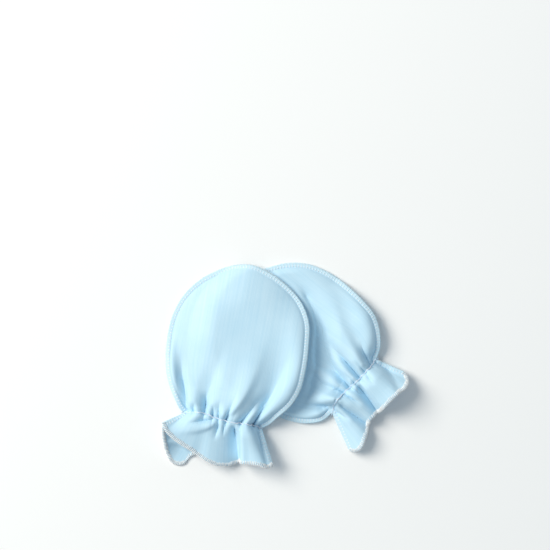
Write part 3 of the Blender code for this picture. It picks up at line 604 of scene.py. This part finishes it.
def knitGroup():  # interlock: columns of small slanted stitches
    group = bpy.data.node_groups.new("interlockKnit", "ShaderNodeTree")
    face = group.interface
    face.new_socket(name="Cut", in_out="INPUT", socket_type="NodeSocketVector")
    for name in ("Height", "Streak", "Fibre"):
        face.new_socket(name=name, in_out="OUTPUT", socket_type="NodeSocketFloat")
    start = addNode(group, "NodeGroupInput", (-900, 0))
    end = addNode(group, "NodeGroupOutput", (700, 0))
    split = addNode(group, "ShaderNodeSeparateXYZ", (-720, 0))
    link(group, start.outputs["Cut"], split.inputs[0])
    wale = addMath(group, "MULTIPLY", split.outputs[0], knit["cut"] / knit["wale"], place=(-540, 120))
    course = addMath(group, "MULTIPLY", split.outputs[1], knit["cut"] / knit["course"], place=(-540, -80))
    side = addMath(group, "PINGPONG", wale, 0.5, place=(-360, 120))  # 0 at a wale's edge, 0.5 at its middle
    lean = addMath(group, "MULTIPLY_ADD", side, knit["slant"] * 2.0, course, place=(-180, -80))
    turn = addMath(group, "MULTIPLY", lean, 2.0 * math.pi, place=(0, -80))
    loops = addMath(group, "SINE", turn, place=(160, -80))
    rib = addMath(group, "MULTIPLY", side, 2.0, place=(-180, 120))
    ribs = addMath(group, "POWER", rib, knit["round"], place=(0, 120))
    height = addMath(group, "MULTIPLY_ADD", loops, knit["loops"], ribs, place=(340, 60))
    link(group, height, end.inputs["Height"])
    long = addNode(group, "ShaderNodeMapping", (-540, -300))
    long.inputs["Scale"].default_value = (knit["cut"] / knit["streakWidth"], knit["streakLength"], 1.0)
    link(group, start.outputs["Cut"], long.inputs["Vector"])
    link(group, addNoise(group, long.outputs[0], 1.0, 2.0, (-340, -300)), end.inputs["Streak"])
    link(group, addNoise(group, start.outputs["Cut"], knit["fibres"], 3.0, (-340, -520)), end.inputs["Fibre"])
    return group


# streak, cloud and loop: how much of each goes into the tone; streak and cloud are the cloth's own uneven
# tone, loop is painted shade, darker in the grooves between the knit's wales
jersey = {
    "deep": (0.43, 0.69, 0.865),
    "light": (0.615, 0.825, 0.955),
    # rim: painted highlight, the paler tone given to the flat seam band
    "rim": (0.635, 0.84, 0.945),
    "roughness": (0.78, 0.92),
    "bump": 0.14, "bumpDeep": 0.25, "fuzz": 0.8,
    "clouds": 70.0, "streak": 0.7, "cloud": 0.5, "loop": 0.12,
    "shader": {
        "Sheen Weight": 0.1, "Sheen Roughness": 0.45, "Sheen Tint": (0.86, 0.95, 1.0, 1.0),
        "Specular IOR Level": 0.25,
    },
}


def jerseyMaterial(group):
    made, tree, shader = newMaterial("blueJersey", jersey["shader"])
    cut = addNode(tree, "ShaderNodeUVMap", (-1300, 0), uv_map="cut")
    weave = addNode(tree, "ShaderNodeGroup", (-1080, 0), node_tree=group)
    link(tree, cut.outputs["UV"], weave.inputs["Cut"])
    spot = addNode(tree, "ShaderNodeTexCoord", (-1300, -300))
    cloud = addNoise(tree, spot.outputs["Object"], jersey["clouds"], 2.0, (-1080, -300))
    streaks = addMath(tree, "MULTIPLY", weave.outputs["Streak"], jersey["streak"], place=(-860, 120))
    mixed = addMath(tree, "MULTIPLY_ADD", cloud, jersey["cloud"], streaks, place=(-860, -60))
    # painted shade: the knit's relief height goes into the tone, darker in the grooves between wales and
    # lighter on the stitches
    loops = addMath(
        tree, "MULTIPLY_ADD", weave.outputs["Height"], jersey["loop"], mixed, place=(-680, 0), clamp=True
    )
    tone = addMix(tree, loops, (-480, 120))
    tone.inputs["A"].default_value = (*jersey["deep"], 1.0)
    tone.inputs["B"].default_value = (*jersey["light"], 1.0)
    # painted highlight: the flat seam band round the hand is mixed towards the paler rim tone
    edge = addNode(tree, "ShaderNodeAttribute", (-680, -220), attribute_name="sewn")
    rim = addMix(tree, edge.outputs["Fac"], (-260, 120))
    link(tree, tone.outputs["Result"], rim.inputs["A"])
    rim.inputs["B"].default_value = (*jersey["rim"], 1.0)
    link(tree, rim.outputs["Result"], shader.inputs["Base Color"])
    roughBetween(tree, weave.outputs["Fibre"], shader, jersey["roughness"], (-480, -120))
    fuzz = addMath(
        tree, "MULTIPLY_ADD", weave.outputs["Fibre"], jersey["fuzz"], weave.outputs["Height"],
        place=(-480, -400),
    )
    bumpFrom(tree, fuzz, shader, jersey["bump"], jersey["bumpDeep"], (-260, -400))
    return made


# spread: the part of the twist's range that runs from the deep tone to the light one
spun = {
    "spread": (0.36, 0.6), "bump": 0.3, "bumpDeep": 0.08,
    "shader": {"Sheen Weight": 0.2, "Sheen Roughness": 0.4, "Specular IOR Level": 0.35},
}


def threadMaterial(name, deep, light, roughness, grain):  # spun thread: soft, with a fine uneven twist
    made, tree, shader = newMaterial(name, spun["shader"])
    spot = addNode(tree, "ShaderNodeTexCoord", (-900, 0))
    twist = addNoise(tree, spot.outputs["Object"], grain, 3.0, (-700, 0))
    spread = addNode(tree, "ShaderNodeMapRange", (-560, 160))
    spread.inputs["From Min"].default_value, spread.inputs["From Max"].default_value = spun["spread"]
    link(tree, twist, spread.inputs["Value"])
    tone = addMix(tree, spread.outputs["Result"], (-400, 100))
    tone.inputs["A"].default_value = (*deep, 1.0)
    tone.inputs["B"].default_value = (*light, 1.0)
    link(tree, tone.outputs["Result"], shader.inputs["Base Color"])
    roughBetween(tree, twist, shader, roughness, (-400, -100))
    bumpFrom(tree, twist, shader, spun["bump"], spun["bumpDeep"], (-400, -320))
    return made


def panelPiece(mitten, side, points, cut, far, material):
    rows, columns = points.shape[0] - 1, points.shape[1] - 1
    placed = toPair(mitten, points)
    bm = bmesh.new()
    bmesh.ops.create_grid(bm, x_segments=columns, y_segments=rows, size=1.0)
    cutLayer = bm.loops.layers.uv.new("cut")
    # the seam band's painted highlight, strongest over the band and gone just inside it
    rimHighlightLayer = bm.verts.layers.float.new("sewn")
    spot = {}
    for vert in bm.verts:
        column = round((vert.co.x + 1.0) / 2.0 * columns)
        row = round((vert.co.y + 1.0) / 2.0 * rows)
        at = row * (columns + 1) + column
        spot[vert] = at
        vert.co = placed[row, column] * mm
        rim = ease((far[at] - cloth["seamWidth"] + cloth["rimHighlightInside"]) / cloth["rimHighlightFades"])
        vert[rimHighlightLayer] = float(cloth["rimHighlightShare"] * (1.0 - rim))
    cutShare = cut / knit["cut"]
    for face in bm.faces:
        for loop in face.loops:
            loop[cutLayer].uv = cutShare[spot[loop.vert]]
    mesh = bpy.data.meshes.new(mitten["name"] + side.capitalize() + "Panel")
    bm.to_mesh(mesh)
    bm.free()
    mesh.shade_smooth()
    mesh.materials.append(material)
    panel = bpy.data.objects.new(mesh.name, mesh)
    bpy.context.scene.collection.objects.link(panel)
    wall = panel.modifiers.new("cloth", "SOLIDIFY")
    wall.thickness = cloth["thickness"] * mm
    wall.offset = 0.0
    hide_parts(mitten["name"] + "_" + side + "_panel")
    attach(panel, "root")
    return panel


def threadPiece(name, lines, radius, material, closed=False):  # lines of points, in millimetres
    curve = bpy.data.curves.new(name, "CURVE")
    curve.dimensions = "3D"
    curve.bevel_depth = radius * mm
    curve.bevel_resolution = 1
    curve.use_fill_caps = True
    for line in lines:
        spline = curve.splines.new("POLY")
        spline.points.add(len(line) - 1)
        spline.points.foreach_set("co", np.column_stack([line * mm, np.ones(len(line))]).ravel())
        spline.use_cyclic_u = closed
        spline.use_smooth = True
    curve.materials.append(material)
    piece = bpy.data.objects.new(name, curve)
    bpy.context.scene.collection.objects.link(piece)
    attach(piece, "root")
    return piece


def wayIn(line, inner):  # square to the line, towards the panel's inner rows
    along = unit(np.gradient(line, axis=0))
    inward = inner - line
    return unit(inward - (inward * along).sum(1)[:, None] * along)


def edgeLine(points):  # round the sewn edge from the hem's left end to its right end, and the way in
    left, top, right = points[:, 0], points[-1, 1:-1], points[::-1, -1]
    inLeft, inTop, inRight = points[:, 4], points[-6, 1:-1], points[::-1, -5]
    line = np.concatenate([left, top, right])
    return line, wayIn(line, np.concatenate([inLeft, inTop, inRight]))


def resampled(line, inward, step):
    along = lengthsOf(line)
    count = max(2, int(round(along[-1] / step)))
    places = np.linspace(0.0, along[-1], count + 1)
    even = [np.stack([np.interp(places, along, rows[:, k]) for k in range(3)], 1) for rows in (line, inward)]
    return even[0], unit(even[1])


def onSheet(tree, place, lift, upward):  # the point of a sheet's face nearest to a place
    where, normal = tree.find_nearest(Vector(place))[:2]
    normal = normal if (normal.z > 0) == upward else -normal
    return np.array(where + normal * lift)


overlock = {
    "pitch": 1.7, "step": 0.185, "thread": 0.11, "slant": 0.25, "proud": 0.1, "drawn": 0.3,
    "across": (2.1, 1.6, 0.85, 0.15),  # places of a stitch, in from the edge
    "round": (0.2, 0.8), "roundProud": 0.2,  # and down the two cut edges
    "edgeThread": 0.32, "edgeSwell": 0.08, "edgeMiddle": 0.6,
    "tick": (1.15, 2.05), "tickThread": 0.17,
    "tickHeights": ((0.0, -0.08), (0.3, 0.12), (0.7, 0.12), (1.0, -0.08)),  # share of the way, height
}


def overlockPieces(mitten, sheets, trees, thread, needleThread):
    front, frontIn = edgeLine(sheets["front"])
    back, backIn = edgeLine(sheets["back"])
    half = cloth["thickness"] / 2
    front, frontIn = resampled(front, frontIn, overlock["step"])
    shares = np.linspace(0.0, 1.0, len(front))
    back, backIn = spaced(back, shares), spaced(backIn, shares)
    ahead = unit(np.gradient(front, axis=0))
    every = int(round(overlock["pitch"] / overlock["step"]))
    lift = half + overlock["thread"] * 0.5
    across = overlock["across"]
    stitches, ticks, edge = [], [], []
    for k in range(every // 2, len(front), every):
        line = []
        for inward in across:  # over the top
            slant = ahead[k] * overlock["slant"] * (inward / across[0])
            line.append(onSheet(trees["front"], front[k] + frontIn[k] * inward + slant, lift, True))
        out = overlock["proud"] + overlock["roundProud"]
        for down in overlock["round"]:
            line.append(front[k] + (back[k] - front[k]) * down - frontIn[k] * out)
        for inward in reversed(across):  # and back below
            line.append(onSheet(trees["back"], back[k] + backIn[k] * inward, lift, False))
        line = np.array(line)
        line[0] -= (line[0] - front[k] - frontIn[k] * across[0]) * overlock["drawn"]
        line[:, 2] = np.maximum(line[:, 2], overlock["thread"])
        stitches.append(line)
        line = []
        for share, high in overlock["tickHeights"]:
            inward = overlock["tick"][0] + (overlock["tick"][1] - overlock["tick"][0]) * share
            line.append(onSheet(trees["front"], front[k] + frontIn[k] * inward, half + high, True))
        ticks.append(np.array(line))
    swell = np.cos(np.arange(len(front)) * 2.0 * math.pi / every)
    for k in range(0, len(front), 2):
        out = overlock["proud"] + overlock["edgeSwell"] * swell[k]
        middle = front[k] * overlock["edgeMiddle"] + back[k] * (1.0 - overlock["edgeMiddle"])
        edge.append(middle - frontIn[k] * out)
    name = mitten["name"]
    return [
        threadPiece(name + "Overlock", stitches, overlock["thread"], thread),
        threadPiece(name + "OverlockEdge", [np.array(edge)], overlock["edgeThread"], thread),
        threadPiece(name + "NeedleStitches", ticks, overlock["tickThread"], needleThread),
    ]


# beats: how fast its width comes and goes
hem = {
    "pitch": 0.95, "thread": 0.28, "steps": 12, "width": 2.2, "proud": 0.35,
    "uneven": 0.13, "beats": (0.9, 2.3),
}


def hemPiece(mitten, side, points, material):  # merrow thread wound close round the cuff's edge
    fine, way = resampled(points[0], wayIn(points[0], points[3]), hem["pitch"] / hem["steps"])
    across = unit(np.cross(np.gradient(fine, axis=0), way))
    turn = np.arange(len(fine)) * 2.0 * math.pi / hem["steps"]
    place = np.arange(len(fine)) / hem["steps"]
    slow, fast = hem["beats"]
    uneven = hem["uneven"] * (np.sin(place * slow) * 0.5 + np.sin(place * fast + 1.0) * 0.5)
    halfWidth = hem["width"] / 2 * (1.0 + uneven)
    halfThick = cloth["thickness"] / 2 + hem["thread"] * 0.75
    middle = halfWidth - hem["proud"]
    wide = (middle - halfWidth * np.cos(turn))[:, None]
    high = (halfThick * np.sin(turn))[:, None]
    wound = fine + way * wide + across * high
    wound[:, 2] = np.maximum(wound[:, 2], hem["thread"])
    name = mitten["name"] + side.capitalize() + "Hem"
    return threadPiece(name, [toPair(mitten, wound)], hem["thread"], material)


elastic = {
    "thread": 0.24, "sunk": 0.15, "bridge": 1.0, "offTable": 0.5,
    "beside": 4, "liftBeside": 0.2,  # rows to either side, and how far their height lifts the thread
    "aside": 1.7, "cornerRows": 6, "wraps": 9, "boxy": 0.6,  # round the wrist's two ends
    "stitchPitch": 2.3, "stitch": 0.19, "reach": 0.42,
}


def elasticPieces(mitten, sheets, trees, material, needleThread):
    front = sheets["front"]
    at = meshes["front"][2]
    row = front[at]
    x = row[:, 0]
    beside = np.maximum(front[at - elastic["beside"], :, 2], front[at + elastic["beside"], :, 2])
    near = row[:, 2] + elastic["liftBeside"] * np.maximum(beside - row[:, 2], 0.0)
    highest = np.array([near[np.abs(x - here) <= elastic["bridge"]].max() for here in x])
    taut = np.array([highest[np.abs(x - here) <= elastic["bridge"]].mean() for here in x])
    rides = cloth["thickness"] / 2 + elastic["thread"] - elastic["sunk"]
    top = np.column_stack([x, row[:, 1], taut + rides])
    over = top[::3]
    under = np.column_stack([x, row[:, 1], np.full(len(x), elastic["offTable"])])[::-8]
    wraps = []
    for column, first in ((-1, 90.0), (0, -90.0)):
        hand = front[at + elastic["cornerRows"], column, :2] - row[column, :2]
        cuff = front[at - elastic["cornerRows"], column, :2] - row[column, :2]
        away = hand / np.linalg.norm(hand) + cuff / np.linalg.norm(cuff)
        away = away / np.linalg.norm(away) * elastic["aside"]
        high, low = over[column, 2], elastic["offTable"]
        for angle in np.radians(first - np.arange(1, elastic["wraps"] + 1) * 180.0 / (elastic["wraps"] + 1)):
            out = abs(math.cos(angle))
            up = math.copysign(abs(math.sin(angle)) ** elastic["boxy"], math.sin(angle))
            wraps.append([*(row[column, :2] + away * out), (high + low) / 2 + (high - low) / 2 * up])
    path = np.vstack([over, wraps[:elastic["wraps"]], under, wraps[elastic["wraps"]:]])
    name = mitten["name"] + "WristElastic"
    cord = threadPiece(name, [toPair(mitten, path)], elastic["thread"], material, closed=True)
    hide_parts(mitten["name"] + "_wrist_elastic")
    count = int(lengthsOf(top)[-1] / elastic["stitchPitch"])
    middle = spaced(top, (np.arange(count) + 0.5) / count)
    zigzag = []
    for k, spot in enumerate(middle):
        foot = spot + np.array([0.0, elastic["reach"] * (1 if k % 2 else -1), -0.3])
        zigzag.append(onSheet(trees["local"], foot, cloth["thickness"] / 2 + 0.05, True))
        zigzag.append(spot + np.array([elastic["stitchPitch"] / 2, 0.0, elastic["thread"] + 0.08]))
    name = mitten["name"] + "WristStitches"
    return cord, threadPiece(name, [toPair(mitten, np.array(zigzag))], elastic["stitch"], needleThread)


def makeMitten(mitten, blue, white, seamThread, needleThread, elasticThread):
    data = {side: panelPoints(mitten, side) for side in ("front", "back")}
    sheets = {side: data[side][0] for side in data}
    sheets["front"] = keptOff(sheets["front"], sheets["back"], cloth["thickness"] + 0.06)
    for side in ("back", "front"):
        panelPiece(mitten, side, sheets[side], data[side][1], data[side][2], blue)
    placed = {side: toPair(mitten, sheets[side]) for side in sheets}
    trees = {side: sheetTree(placed[side]) for side in placed}
    trees["local"] = sheetTree(sheets["front"])
    sewn = overlockPieces(mitten, placed, trees, seamThread, needleThread)
    hems = {side: hemPiece(mitten, side, sheets[side], white) for side in ("front", "back")}
    cord, stitches = elasticPieces(mitten, sheets, trees, elasticThread, needleThread)
    print(mitten["name"], "mitten made")


knitWeave = knitGroup()
blueJersey = jerseyMaterial(knitWeave)
whiteThread = threadMaterial("whiteThread", (0.70, 0.72, 0.74), (0.97, 0.97, 0.96), (0.55, 0.75), 700.0)
elasticThread = threadMaterial("elasticThread", (0.54, 0.72, 0.90), (0.74, 0.86, 0.98), (0.5, 0.7), 900.0)
seamThread = threadMaterial("seamThread", (0.62, 0.80, 0.90), (0.76, 0.88, 0.94), (0.6, 0.8), 900.0)
needleThread = threadMaterial("needleThread", (0.80, 0.86, 0.98), (0.92, 0.95, 1.0), (0.5, 0.7), 900.0)
print("cloth and threads ready")
for mitten in (lower, upper):
    makeMitten(mitten, blueJersey, whiteThread, seamThread, needleThread, elasticThread)


studio = {
    "tableSize": 1.6, "tableBelow": 0.05, "tableGrain": 300.0, "tableRoughness": (0.8, 0.95),
    "tableShader": {"Base Color": (0.97, 0.97, 0.97, 1.0), "Specular IOR Level": 0.1},
    "keyPlace": (-1.38, 0.66, 1.42), "keySize": 1.2, "keyPower": 43.0, "keyColour": (1.0, 0.955, 0.87),
    "sky": (0.77, 0.90, 1.0), "skyPower": 0.44,
    "cameraPlace": (-0.00558, 0.0484, 0.9), "seen": 0.298,
}


def makeTable():
    bm = bmesh.new()
    bmesh.ops.create_grid(bm, x_segments=2, y_segments=2, size=studio["tableSize"])
    bmesh.ops.translate(bm, verts=bm.verts, vec=(0.0, 0.0, -studio["tableBelow"] * mm))
    mesh = bpy.data.meshes.new("table")
    bm.to_mesh(mesh)
    bm.free()
    table = bpy.data.objects.new("table", mesh)
    bpy.context.scene.collection.objects.link(table)
    paper, tree, shader = newMaterial("palePaper", studio["tableShader"])
    spot = addNode(tree, "ShaderNodeTexCoord", (-700, 0))
    grain = addNoise(tree, spot.outputs["Object"], studio["tableGrain"], 2.0, (-500, 0))
    roughBetween(tree, grain, shader, studio["tableRoughness"], (-300, 0))
    mesh.materials.append(paper)


def makeLights():
    scene = bpy.context.scene
    world = bpy.data.worlds.new("softRoom")
    scene.world = world
    world.use_nodes = True
    sky = world.node_tree.nodes["Background"]
    sky.inputs["Color"].default_value = (*studio["sky"], 1.0)
    sky.inputs["Strength"].default_value = studio["skyPower"]
    lamp = bpy.data.lights.new("windowLight", "AREA")
    lamp.size = studio["keySize"]
    lamp.energy = studio["keyPower"]
    lamp.color = studio["keyColour"]
    key = bpy.data.objects.new("windowLight", lamp)
    key.location = studio["keyPlace"]
    aim = Vector((*studio["cameraPlace"][:2], 0.0)) - key.location
    key.rotation_euler = aim.to_track_quat("-Z", "Y").to_euler()
    scene.collection.objects.link(key)


def makeCamera():
    lens = bpy.data.cameras.new("camera")
    lens.lens_unit = "FOV"
    lens.angle = 2.0 * math.atan(studio["seen"] / 2.0 / studio["cameraPlace"][2])
    camera = bpy.data.objects.new("camera", lens)
    camera.location = studio["cameraPlace"]
    bpy.context.scene.collection.objects.link(camera)
    bpy.context.scene.camera = camera


makeTable()
makeLights()
makeCamera()
bpy.context.scene.view_settings.view_transform = "Standard"
print("table, lights and camera ready")
